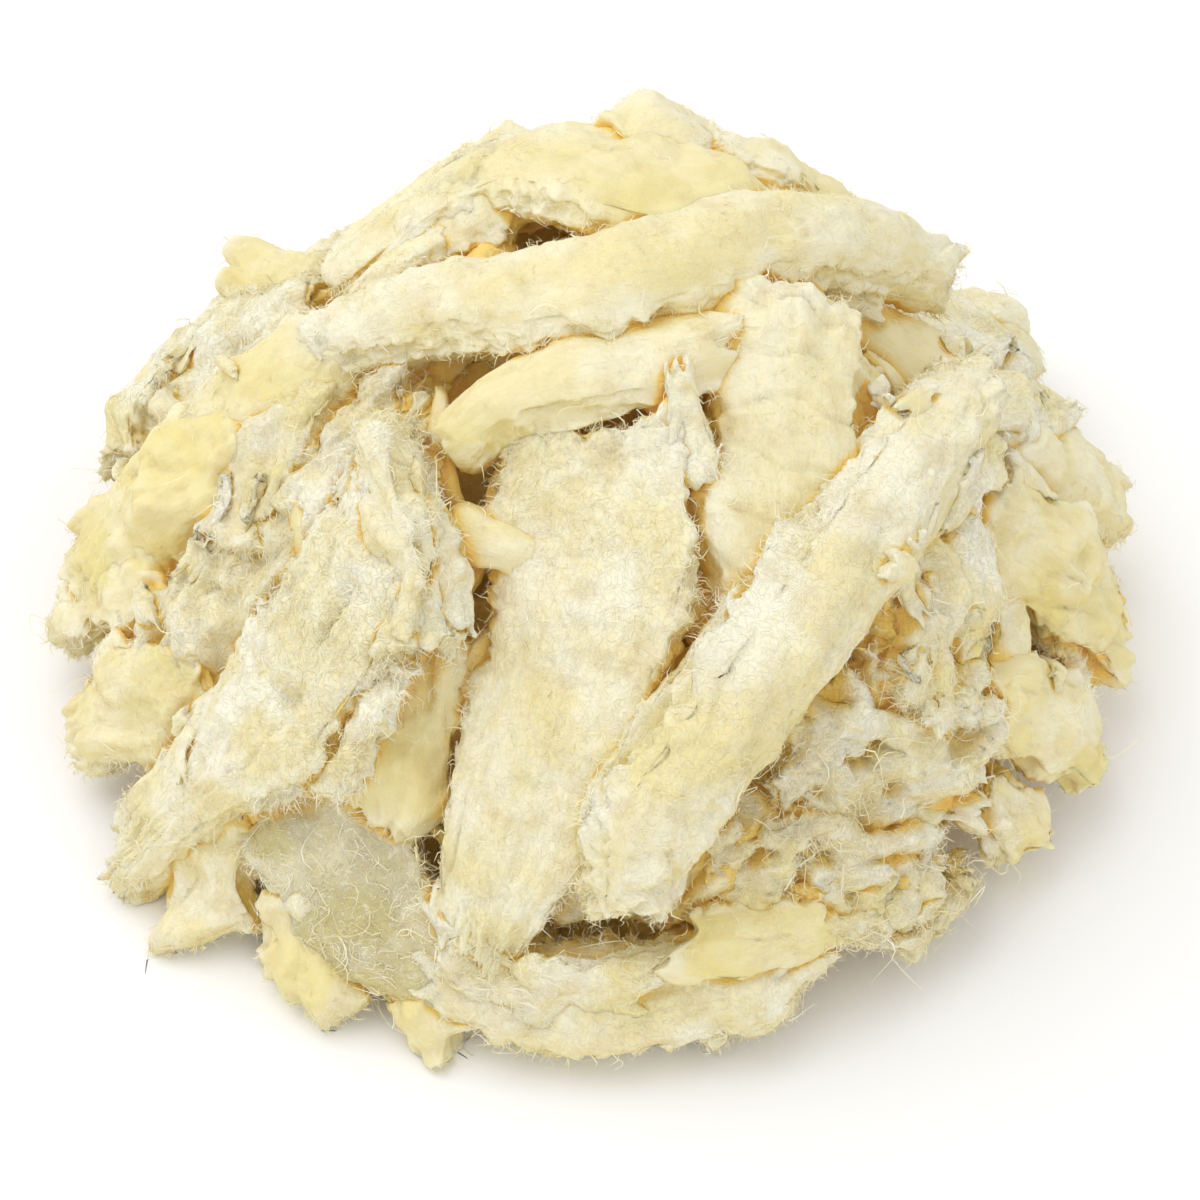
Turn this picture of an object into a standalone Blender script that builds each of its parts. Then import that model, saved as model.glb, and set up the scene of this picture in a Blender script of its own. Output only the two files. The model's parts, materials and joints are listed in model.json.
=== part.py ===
"""A heap of shredded salted dried cod, as one solid out to its uneven outline.

Torn strips and flakes of dried cod lie over each other on a rounded heap. Every strip is placed on the
heap by its bearing (degrees round the heap, 0 at the front, 90 at the right) and its reach (0 at the
summit, 1 at the rim), and follows the heap's slope. The strips and the packed core under them are then
welded into one closed body with a flat underside.

Metres, +Z up. The origin is on the surface the heap stands on, under the middle of its outline.
"""

import math
import random

import bmesh
import bpy
from mathutils import Matrix, Quaternion, Vector, noise

MM = 0.001

# The rounded heap that the strips lie on.
HALF_WIDTH = 77 * MM
HALF_DEPTH = 77 * MM
SUMMIT = 70 * MM
LEAN = 0.12  # the summit lies this share of its height behind the middle of the rim
RIM_CENTRE_Y = 0.0
SLOPE_ROUNDING = 0.85
SHOULDER_DIP = 22 * MM  # the slope beside and behind the summit sags by this much half way down
DIP_FROM = 0.2  # reach at which the sag begins

# The packed core under the strips.
CORE_SHARE = 0.93
CORE_LUMP = 3.0 * MM
CORE_LUMP_SIZE = 13 * MM
CORE_BELOW_GROUND = 2 * MM  # the core reaches this far down before it is trimmed

# How finely each strip is lofted, and how the whole is welded.
STATIONS = 15
RING_POINTS = 12
EDGE_SQUARENESS, FACE_SQUARENESS = 0.45, 0.6  # 1 is a round section, 0 a square one
BLUNT_END = 0.62  # share of the strip's section that is left at its very end
EDGE_WAVE = 0.14  # a torn edge wanders by this share of the strip's width
WELD_VOXEL = 1.4 * MM
TRIANGLES = 8000
GROUND_CUT = 0.4 * MM  # everything below this height is trimmed away

# Strips that show at the front, top and sides: thickness in millimetres, roll in degrees about the strip's
# length, and stations. Each station is bearing, reach, lift and width, the last two in millimetres.
STRIPS = {
    "summit_strip": (12, -20, [(-76, 0.47, 3, 10), (-60, 0.30, 3, 14), (0, 0.15, 3, 15), (95, 0.30, 4, 14),
                               (112, 0.58, 13, 6)]),
    "summit_slab": (11, -8, [(-106, 0.44, 4, 17), (-140, 0.20, 2, 27), (125, 0.18, 1, 29),
                              (116, 0.46, 6, 22)]),
    "summit_roll": (10, 0, [(-118, 0.46, 4, 10), (-138, 0.32, 3, 14), (-165, 0.22, 1, 12)]),
    "summit_hump": (12, 10, [(172, 0.18, 2, 14), (154, 0.27, 4, 17), (142, 0.36, 3, 12)]),
    "summit_lump": (11, -15, [(142, 0.26, 3, 13), (132, 0.38, 7, 17), (122, 0.50, 7, 12)]),
    "left_tab": (8, 10, [(-119, 0.66, 13, 11), (-116, 0.48, 4, 10)]),
    "left_curl": (6, 30, [(-98, 0.24, 0, 9), (-92, 0.36, 1, 11), (-86, 0.46, -1, 10)]),
    "left_point": (9, -18, [(-72, 0.42, 2, 12), (-77, 0.56, 4, 14), (-82, 0.68, 5, 5)]),
    "left_back_upper": (12, -20, [(-94, 0.44, 1, 14), (-100, 0.60, 3, 19), (-100, 0.74, 4, 15)]),
    "left_back_lower": (12, 25, [(-106, 0.72, 3, 16), (-99, 0.82, 4, 18), (-91, 0.88, 2, 13)]),
    "left_lobe": (12, -15, [(-70, 0.60, 0, 15), (-78, 0.76, 2, 20), (-86, 0.90, 3, 15)]),
    "left_lobe_low": (9, 15, [(-70, 0.80, -1, 12), (-79, 0.89, 1, 15), (-84, 0.96, 2, 11)]),
    "left_wedge": (10, -10, [(-54, 0.82, -1, 14), (-62, 0.89, 1, 17), (-68, 0.97, 2, 10)]),
    "left_band": (11, -22, [(-48, 0.36, -2, 13), (-53, 0.58, -1, 20), (-59, 0.74, -1, 21),
                            (-63, 0.86, -1, 17)]),
    "left_fill": (9, 10, [(-74, 0.46, 0, 13), (-66, 0.60, 1, 15), (-64, 0.72, 2, 12)]),
    "front_left": (11, 6, [(-44, 0.46, 5, 10), (-37, 0.58, 6, 21), (-38, 0.72, 6, 25), (-45, 0.85, 4, 20),
                           (-53, 1.00, 3, 10)]),
    "front_left_crest": (8, 30, [(-43, 0.46, 9, 7), (-35, 0.51, 11, 9), (-28, 0.59, 10, 11),
                                 (-25, 0.67, 8, 8)]),
    "front_left_lobe": (9, 24, [(-37, 0.52, 5, 10), (-27, 0.58, 6, 13), (-21, 0.66, 6, 9)]),
    "front_left_flap": (7, 20, [(-30, 0.66, 5, 13), (-30, 0.74, 6, 14), (-34, 0.83, 4, 10)]),
    "centre_leaf": (8, 9, [(2, 0.36, 2, 24), (0, 0.52, 3, 28), (-3, 0.66, 3, 27), (-9, 0.79, 4, 22),
                           (-13, 0.93, 3, 11)]),
    "centre_wedge": (10, 12, [(44, 0.30, 2, 11), (6, 0.29, 3, 14), (-24, 0.36, 3, 11), (-33, 0.45, 2, 5)]),
    "right_slab": (10, 5, [(75, 0.33, 2, 23), (48, 0.42, 2, 24), (34, 0.53, 2, 21), (24, 0.64, 2, 13)]),
    "small_flake": (8, -20, [(78, 0.48, -2, 13), (54, 0.55, -2, 13)]),
    "right_ridge": (16, -24, [(83, 0.60, 6, 10), (53, 0.58, 6, 15), (27, 0.65, 7, 18), (8, 0.77, 7, 20),
                              (3, 0.87, 6, 13)]),
    "right_back": (10, 20, [(106, 0.46, -1, 13), (95, 0.60, 1, 16), (85, 0.70, 0, 14)]),
    "right_point": (9, -15, [(84, 0.60, 2, 14), (92, 0.72, 4, 13), (98, 0.83, 7, 5)]),
    "right_outer": (11, 20, [(86, 0.70, 1, 15), (92, 0.82, 3, 17), (96, 0.93, 3, 12)]),
    "far_right": (10, 12, [(71, 0.70, 1, 15), (74, 0.83, 2, 19), (78, 0.95, 2, 14)]),
    "right_low": (10, -12, [(52, 0.82, 0, 14), (59, 0.90, 2, 16), (64, 0.97, 2, 11)]),
    "right_block": (9, 10, [(48, 0.90, -1, 11), (52, 0.98, 1, 10)]),
    "ridge_flake": (6, -10, [(60, 0.66, 6, 10), (55, 0.71, 7, 12), (50, 0.75, 5, 9)]),
    "sponge_upper": (13, -20, [(64, 0.60, 0, 18), (52, 0.70, 1, 22), (46, 0.82, 2, 19)]),
    "sponge_middle": (12, 15, [(22, 0.77, -1, 18), (36, 0.81, 1, 21), (48, 0.89, 1, 16)]),
    "sponge_front": (11, -15, [(10, 0.86, -1, 14), (25, 0.89, 1, 17), (40, 0.93, 1, 12)]),
    "sponge_foot": (9, 10, [(22, 0.92, 0, 12), (33, 0.94, 0, 13), (42, 0.96, 0, 10)]),
    "foot_band": (10, -20, [(-20, 0.94, 0, 14), (-3, 0.96, 0, 16), (11, 0.95, 1, 15), (24, 0.93, 0, 13)]),
    "front_sheet": (7, -8, [(-39, 0.86, 0, 16), (-26, 0.92, 1, 21), (-9, 0.96, 1, 14)]),
    "front_leaf": (9, 10, [(-46, 0.88, -1, 14), (-43, 1.02, 0, 12)]),
    "foot_leaf": (9, -10, [(-33, 0.93, -1, 13), (-30, 1.06, 0, 11)]),
    "foot_crumb": (8, 0, [(-20, 0.97, 0, 10), (-14, 1.03, 0, 9)]),
}

# Strips on the far side, in rings round the back of the heap.
BACK_RINGS = [(0.36, 4), (0.58, 6), (0.76, 8), (0.90, 10)]  # reach of the middle, number of strips
BACK_FROM, BACK_TO = 110, 250  # bearings
BACK_LENGTH = 0.26  # in reach
BACK_WIDTH, BACK_THICKNESS = 19, 9  # mm
BACK_ROLL = 28  # degrees, at most, either way
BACK_SEED = 4


def slope_height(bearing, reach):
    """Height of the heap's slope at a bearing and a reach; past the rim the ground is flat."""
    behind = min(1.0, max(0.0, 0.25 - math.cos(math.radians(bearing))))
    past_summit = min(1.0, max(0.0, (reach - DIP_FROM) / (1 - DIP_FROM)))
    dip = SHOULDER_DIP * behind * math.sin(math.pi * past_summit) ** 2
    return SUMMIT * max(0.0, 1 - reach**2) ** SLOPE_ROUNDING - dip


def on_heap(bearing, reach):
    """The point of the heap's surface at a bearing in degrees and a reach."""
    angle = math.radians(bearing)
    z = slope_height(bearing, reach)
    x = HALF_WIDTH * reach * math.sin(angle)
    y = RIM_CENTRE_Y + LEAN * z - HALF_DEPTH * reach * math.cos(angle)
    return Vector((x, y, z))


def outward(bearing, reach):
    """The heap's outward normal there."""
    step = 0.02
    inner = min(max(reach, step), 0.94)
    down = on_heap(bearing, inner + step) - on_heap(bearing, inner - step)
    angle = math.radians(bearing)
    along = Vector((math.cos(angle), math.sin(angle), 0))
    return along.cross(down).normalized() * -1


def smooth(points, t):
    """Catmull-Rom curve through a list of equal-length tuples, at t from 0 to 1."""
    spans = len(points) - 1
    i = min(int(t * spans), spans - 1)
    f = t * spans - i
    p1, p2 = points[i], points[i + 1]
    p0 = points[i - 1] if i else tuple(2 * a - b for a, b in zip(p1, p2))
    p3 = points[i + 2] if i + 2 <= spans else tuple(2 * b - a for a, b in zip(p1, p2))
    return tuple(
        0.5 * (2 * b + (c - a) * f + (2 * a - 5 * b + 4 * c - d) * f**2 + (3 * b - a - 3 * c + d) * f**3)
        for a, b, c, d in zip(p0, p1, p2, p3)
    )


def placed(station):
    """A station as a point, its outward normal and its width, in metres."""
    bearing, reach, lift, width = station
    normal = outward(bearing, reach)
    point = on_heap(bearing, reach) + normal * lift * MM
    return tuple(point) + tuple(normal) + (width * MM,)


def loft_strip(bm, thickness, roll, stations, seed):
    """A bent slab with rounded torn edges, lofted through the stations into bm."""
    along = [placed(s) for s in stations]
    spine = [smooth(along, i / (STATIONS - 1)) for i in range(STATIONS)]
    rings = []
    for i, values in enumerate(spine):
        centre, normal, width = Vector(values[0:3]), Vector(values[3:6]).normalized(), values[6]
        ahead = Vector(spine[min(i + 1, STATIONS - 1)][0:3]) - Vector(spine[max(i - 1, 0)][0:3])
        normal.rotate(Quaternion(ahead, math.radians(roll)))
        side = ahead.cross(normal).normalized()
        end = min(i, STATIONS - 1 - i) / (STATIONS - 1)
        blunt = min(1.0, BLUNT_END + 4.5 * end)
        wander = EDGE_WAVE * width * noise.noise(Vector((seed * 3.1, i * 0.6, 0)))
        half = Vector((width / 2 * blunt, thickness * MM / 2 * blunt))
        centre.z = max(centre.z, half.y)
        ring = []
        for k in range(RING_POINTS):
            turn = 2 * math.pi * k / RING_POINTS
            across = math.copysign(abs(math.cos(turn)) ** EDGE_SQUARENESS, math.cos(turn)) * half.x + wander
            up = math.copysign(abs(math.sin(turn)) ** FACE_SQUARENESS, math.sin(turn)) * half.y
            ring.append(bm.verts.new(centre + side * across + normal * up))
        rings.append([bm.edges.new((ring[k], ring[k - 1])) for k in range(RING_POINTS)])
    for first, second in zip(rings, rings[1:]):
        bmesh.ops.bridge_loops(bm, edges=first + second)
    for edges in (rings[0], rings[-1]):
        bmesh.ops.contextual_create(bm, geom=edges)


def back_strips():
    """Rows, like those of STRIPS, for the strips round the far side, unevenly turned and sized."""
    rng = random.Random(BACK_SEED)
    for reach, count in BACK_RINGS:
        for i in range(count):
            bearing = BACK_FROM + (BACK_TO - BACK_FROM) * (i + 0.5) / count + rng.uniform(-5, 5)
            swing = rng.uniform(-9, 9) / reach
            half = BACK_LENGTH / 2 * rng.uniform(0.7, 1.1)
            width = BACK_WIDTH * rng.uniform(0.7, 1.2)
            lift = rng.uniform(-1, 3) * (1.1 - reach)
            start_width, end_width = width * rng.uniform(0.6, 0.9), width * rng.uniform(0.5, 0.9)
            thickness = BACK_THICKNESS * rng.uniform(0.8, 1.2)
            yield thickness, rng.uniform(-BACK_ROLL, BACK_ROLL), [
                (bearing - swing, max(0.10, reach - half), lift, start_width),
                (bearing, reach, lift + 1, width),
                (bearing + swing, min(0.98, reach + half), lift, end_width),
            ]


def lumpy_core(bm):
    """The packed middle of the heap, a little inside the strips, with a lumpy skin."""
    made = bmesh.ops.create_icosphere(bm, subdivisions=5, radius=1, matrix=Matrix.Identity(4))
    for vert in made["verts"]:
        direction = vert.co.copy()
        bearing = math.degrees(math.atan2(direction.x, -direction.y))
        reach = min(1.0, math.hypot(direction.x, direction.y))
        place = on_heap(bearing, reach) * CORE_SHARE
        if direction.z < 0:
            place.z = -CORE_BELOW_GROUND
        swell = CORE_LUMP * noise.noise(place / CORE_LUMP_SIZE)
        vert.co = place + outward(bearing, reach) * swell if direction.z >= 0 else place


def welded_heap():
    """Core and strips welded into one closed body with a flat underside."""
    bm = bmesh.new()
    lumpy_core(bm)
    for seed, row in enumerate([*STRIPS.values(), *back_strips()]):
        loft_strip(bm, *row, seed)
    bmesh.ops.recalc_face_normals(bm, faces=bm.faces)
    mesh = bpy.data.meshes.new("cod_heap")
    bm.to_mesh(mesh)
    bm.free()
    heap = bpy.data.objects.new("cod_heap", mesh)
    bpy.context.scene.collection.objects.link(heap)

    weld = heap.modifiers.new("weld", "REMESH")
    weld.mode = "VOXEL"
    weld.voxel_size = WELD_VOXEL
    apply_modifiers(heap)
    keep_largest(heap)
    thin = heap.modifiers.new("thin", "DECIMATE")
    thin.ratio = min(1.0, TRIANGLES / triangle_count(heap.data))
    apply_modifiers(heap)
    ground = ground_cutter()
    trim = heap.modifiers.new("trim", "BOOLEAN")
    trim.object = ground
    apply_modifiers(heap)
    bpy.data.objects.remove(ground)
    keep_largest(heap)
    stand_on_origin(heap)
    heap.data.shade_smooth()
    return heap


def ground_cutter():
    """A block that fills the ground up to the height where the heap is trimmed."""
    bm = bmesh.new()
    bmesh.ops.create_cube(bm, size=4 * HALF_WIDTH)
    bmesh.ops.translate(bm, verts=bm.verts, vec=(0, 0, GROUND_CUT - 2 * HALF_WIDTH))
    mesh = bpy.data.meshes.new("ground")
    bm.to_mesh(mesh)
    bm.free()
    ground = bpy.data.objects.new("ground", mesh)
    bpy.context.scene.collection.objects.link(ground)
    return ground


def apply_modifiers(thing):
    """Replaces the object's mesh by what its modifiers make of it."""
    bpy.context.view_layer.update()
    graph = bpy.context.evaluated_depsgraph_get()
    made = bpy.data.meshes.new_from_object(thing.evaluated_get(graph))
    thing.modifiers.clear()
    thing.data = made


def triangle_count(mesh):
    return sum(len(face.vertices) - 2 for face in mesh.polygons)


def corners(mesh):
    """Lowest and highest corner of a mesh."""
    places = [vert.co for vert in mesh.vertices]
    low = Vector([min(place[i] for place in places) for i in range(3)])
    high = Vector([max(place[i] for place in places) for i in range(3)])
    return low, high


def stand_on_origin(thing):
    """Moves the mesh so that the origin is under the middle of its outline, on the ground."""
    low, high = corners(thing.data)
    middle = (low + high) / 2
    thing.data.transform(Matrix.Translation((-middle.x, -middle.y, -low.z)))


def keep_largest(thing):
    """Keeps the outer body and drops loose crumbs and sealed pockets."""
    bm = bmesh.new()
    bm.from_mesh(thing.data)
    left = set(bm.verts)
    islands = []
    while left:
        todo = [left.pop()]
        island = []
        while todo:
            vert = todo.pop()
            island.append(vert)
            near = [edge.other_vert(vert) for edge in vert.link_edges]
            new = [other for other in near if other in left]
            left.difference_update(new)
            todo.extend(set(new))
        islands.append(island)
    islands.sort(key=len)
    for island in islands[:-1]:
        bmesh.ops.delete(bm, geom=island, context="VERTS")
    bm.to_mesh(thing.data)
    bm.free()


def dried_cod():
    """Matt cream-yellow dried flesh."""
    material = bpy.data.materials.new("dried_cod")
    material.use_nodes = True
    shader = material.node_tree.nodes["Principled BSDF"]
    shader.inputs["Base Color"].default_value = (0.80, 0.72, 0.48, 1)
    shader.inputs["Roughness"].default_value = 0.85
    shader.inputs["Metallic"].default_value = 0.0
    return material


def main():
    for thing in list(bpy.data.objects):
        bpy.data.objects.remove(thing)
    heap = welded_heap()
    heap.data.materials.clear()
    heap.data.materials.append(dried_cod())
    low, high = corners(heap.data)
    print("heap", [round(side / MM, 1) for side in high - low], "mm")


main()
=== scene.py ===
# %% [markdown]
# # A heap of shredded salted dried cod
#
# Salted and dried cod is torn by hand into strips and flakes. Where it tears along the muscle it is smooth
# and waxy, where it tears across it frays into white, matted fibres, and deep between the pieces it looks
# golden brown, which is painted here as shade. The imported model holds the whole heap as one solid,
# `cod_heap`. This notebook replaces it by what it stands for: some eighty torn strips and two hundred small
# shreds over a smaller packed core, with real fibres on them.

# %% Load the imported heap
import json
import math
import random

import bpy
import numpy as np
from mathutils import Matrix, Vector

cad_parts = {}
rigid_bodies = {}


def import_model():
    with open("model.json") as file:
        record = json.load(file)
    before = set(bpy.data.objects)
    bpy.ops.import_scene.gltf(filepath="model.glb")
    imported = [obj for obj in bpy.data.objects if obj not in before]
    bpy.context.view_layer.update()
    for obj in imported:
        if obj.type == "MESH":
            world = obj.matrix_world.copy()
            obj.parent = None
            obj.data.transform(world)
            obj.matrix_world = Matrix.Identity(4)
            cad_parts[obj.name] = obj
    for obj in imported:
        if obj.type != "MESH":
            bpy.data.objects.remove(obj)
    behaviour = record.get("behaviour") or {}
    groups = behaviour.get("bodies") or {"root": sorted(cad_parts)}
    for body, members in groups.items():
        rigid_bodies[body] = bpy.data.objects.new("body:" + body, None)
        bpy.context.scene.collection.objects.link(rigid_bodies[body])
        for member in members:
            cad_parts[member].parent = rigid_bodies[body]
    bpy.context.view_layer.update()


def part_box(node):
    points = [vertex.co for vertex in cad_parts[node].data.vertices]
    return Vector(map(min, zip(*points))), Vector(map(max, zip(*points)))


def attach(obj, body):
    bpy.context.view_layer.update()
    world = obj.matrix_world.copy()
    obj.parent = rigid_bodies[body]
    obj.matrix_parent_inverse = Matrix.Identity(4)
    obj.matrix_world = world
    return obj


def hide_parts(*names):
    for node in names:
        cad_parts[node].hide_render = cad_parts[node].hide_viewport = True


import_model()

MM = 0.001
heap_low, heap_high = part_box("cod_heap")
heap_size = heap_high - heap_low
print("heap", [round(side / MM, 1) for side in heap_size], "mm")

# %% [markdown]
# ## The rounded form that every strip lies on
#
# A strip's place on the heap is easiest to say as a bearing, in degrees round the heap with 0 at the front
# and 90 at the right, and a reach, from 0 at the summit to 1 at the rim. Two functions turn these into a
# point and into the direction that faces away from the heap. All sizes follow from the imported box.

# %% Bearing and reach
HALF_WIDTH = heap_size.x * 0.495
HALF_DEPTH = heap_size.y * 0.472
SUMMIT = heap_size.z * 0.885
LEAN = 0.12  # the summit lies this share of its height behind the rim's middle
SLOPE_ROUNDING = 0.85
SHOULDER_DIP = 22 * MM  # the slope beside and behind the summit sags by this much half way down


def on_heap(bearing, reach):
    """Points of the rounded heap, for arrays of bearings in degrees and reaches."""
    angle = np.radians(bearing)
    behind = np.clip(0.25 - np.cos(angle), 0, 1)
    past_summit = np.clip((reach - 0.2) / 0.8, 0, 1)
    dip = SHOULDER_DIP * behind * np.square(np.sin(np.pi * past_summit))
    height = SUMMIT * np.clip(1 - np.square(reach), 0, None) ** SLOPE_ROUNDING - dip
    x = HALF_WIDTH * reach * np.sin(angle)
    y = LEAN * height - HALF_DEPTH * reach * np.cos(angle)
    return np.stack([x, y, height], axis=-1)


def unit(vectors):
    return vectors / np.maximum(np.linalg.norm(vectors, axis=-1, keepdims=True), 1e-12)


def away_from_heap(bearing, reach):
    """Unit vectors that stand square on the rounded heap."""
    inner = np.clip(reach, 0.03, 0.94)
    down = on_heap(bearing, inner + 0.02) - on_heap(bearing, inner - 0.02)
    angle = np.radians(bearing)
    round_the_heap = np.stack([np.cos(angle), np.sin(angle), np.zeros_like(angle)], axis=-1)
    return -unit(np.cross(round_the_heap, down))


print("summit at", np.round(on_heap(0.0, 0.0) / MM, 1), "mm")

# %% [markdown]
# ## Camera
#
# Food like this is shown from well above, with a long lens so that the heap keeps its proportions. The
# camera looks down 50 degrees along +Y, from just under half a metre, at a point low on the heap's front.

# %% Camera
CAMERA_RISE = math.radians(50)
CAMERA_DISTANCE = 0.465
CAMERA_AIM = Vector((0.0005, -0.0170, 0.0236))
backwards = Vector((0, -math.cos(CAMERA_RISE), math.sin(CAMERA_RISE)))
bpy.ops.object.camera_add(
    location=CAMERA_AIM + backwards * CAMERA_DISTANCE, rotation=(math.pi / 2 - CAMERA_RISE, 0, 0)
)
camera = bpy.context.object
camera.name = "camera"
camera.data.lens = 100
camera.data.sensor_width = 36
camera.data.clip_start = 0.01
bpy.context.scene.camera = camera
print("camera at", [round(value, 3) for value in camera.location])

# %% [markdown]
# ## Floor and light
#
# Pale food wants a bright room: a white floor, an even white surround, and one broad light above and to the
# left that lets each strip throw a soft shadow on the one below. A weak light in front opens the gaps. The
# standard view keeps white as white.

# %% Floor and light
bpy.ops.mesh.primitive_plane_add(size=6)
floor = bpy.context.object
floor.name = "floor"
floor_paint = bpy.data.materials.new("floor_paint")
floor_paint.use_nodes = True
floor_shader = floor_paint.node_tree.nodes["Principled BSDF"]
floor_shader.inputs["Base Color"].default_value = (0.97, 0.97, 0.97, 1)
floor_shader.inputs["Roughness"].default_value = 0.9
floor.data.materials.append(floor_paint)

LIGHTS = {  # place in metres, size in metres, power in watts
    "broad_light": ((-0.40, 0.15, 0.9), 0.9, 4.3),
    "front_light": ((0.35, -0.9, 0.55), 0.8, 1.2),
}
for light_name, (place, size, power) in LIGHTS.items():
    bpy.ops.object.light_add(type="AREA", location=place)
    light = bpy.context.object
    light.name = light_name
    light.data.size = size
    light.data.energy = power
    light.rotation_euler = (Vector((0, 0, 0.02)) - Vector(place)).to_track_quat("-Z", "Y").to_euler()

surround = bpy.data.worlds.new("surround")
surround.use_nodes = True
surround.node_tree.nodes["Background"].inputs["Color"].default_value = (1.0, 1.0, 1.0, 1)
surround.node_tree.nodes["Background"].inputs["Strength"].default_value = 0.78
bpy.context.scene.world = surround
bpy.context.scene.view_settings.view_transform = "Standard"
print("lights", list(LIGHTS))

# %% [markdown]
# ## Small helpers for node trees
#
# Geometry trees shape the flesh and scatter the fibres, and shader trees colour them. Both are built with
# the same two helpers: one adds a node and connects or sets its inputs, the other does one sum.

# %% Node helpers


def add_node(tree, kind, inputs=None, **settings):
    """Adds a node; an input given as a socket is connected, any other value is set."""
    made = tree.nodes.new(kind)
    for name, value in settings.items():
        setattr(made, name, value)
    for name, value in (inputs or {}).items():
        if isinstance(value, bpy.types.NodeSocket):
            tree.links.new(value, made.inputs[name])
        else:
            made.inputs[name].default_value = value
    return made


def calc(tree, operation, first, second=0.0, clamp=False):
    """One sum of two numbers or sockets."""
    made = add_node(tree, "ShaderNodeMath", {0: first, 1: second}, operation=operation, use_clamp=clamp)
    return made.outputs[0]


def times(tree, first, second, clamp=False):
    return calc(tree, "MULTIPLY", first, second, clamp)


def plus(tree, first, second):
    return calc(tree, "ADD", first, second)


def ramp(tree, value, low, high, to_low=0.0, to_high=1.0):
    """A smooth step from to_low at low to to_high at high."""
    inputs = {0: value, 1: low, 2: high, 3: to_low, 4: to_high}
    made = add_node(tree, "ShaderNodeMapRange", inputs, interpolation_type="SMOOTHSTEP")
    return made.outputs[0]


def stretched(tree, vector, shares):
    """A vector with each of its parts multiplied by its own share."""
    made = add_node(tree, "ShaderNodeVectorMath", {0: vector, 1: shares}, operation="MULTIPLY")
    return made.outputs[0]


def scaled(tree, vector, amount):
    made = add_node(tree, "ShaderNodeVectorMath", {0: vector, "Scale": amount}, operation="SCALE")
    return made.outputs[0]


def vector_sum(tree, first, second):
    made = add_node(tree, "ShaderNodeVectorMath", {0: first, 1: second}, operation="ADD")
    return made.outputs[0]


def open_tree(name, kind, inputs, outputs):
    """A node group with its sockets; returns the tree and its input and output nodes."""
    tree = bpy.data.node_groups.new(name, kind)
    for label, socket_type in inputs:
        tree.interface.new_socket(label, in_out="INPUT", socket_type=socket_type)
    for label, socket_type in outputs:
        tree.interface.new_socket(label, in_out="OUTPUT", socket_type=socket_type)
    return tree, tree.nodes.new("NodeGroupInput"), tree.nodes.new("NodeGroupOutput")


GEOMETRY, NUMBER, COLOUR, DIRECTION = (
    "NodeSocketGeometry", "NodeSocketFloat", "NodeSocketColor", "NodeSocketVector",
)

# %% [markdown]
# ## The grain of torn flesh, as geometry
#
# Cod flesh is bundles of fibres, so a torn strip has long fine ridges, lumps where bundles end, a ragged
# edge, and grooves across it every few millimetres where one muscle segment meets the next. Where it is
# spongy it has hollows. One geometry group makes all of these on a straight block, by moving its points along
# their normals. Each strip calls it with its own amounts, and a seed so that no two are alike.

# %% Geometry group: torn flesh
TEAR_START = 0.62  # share of the way to the edge where the tearing begins


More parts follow.
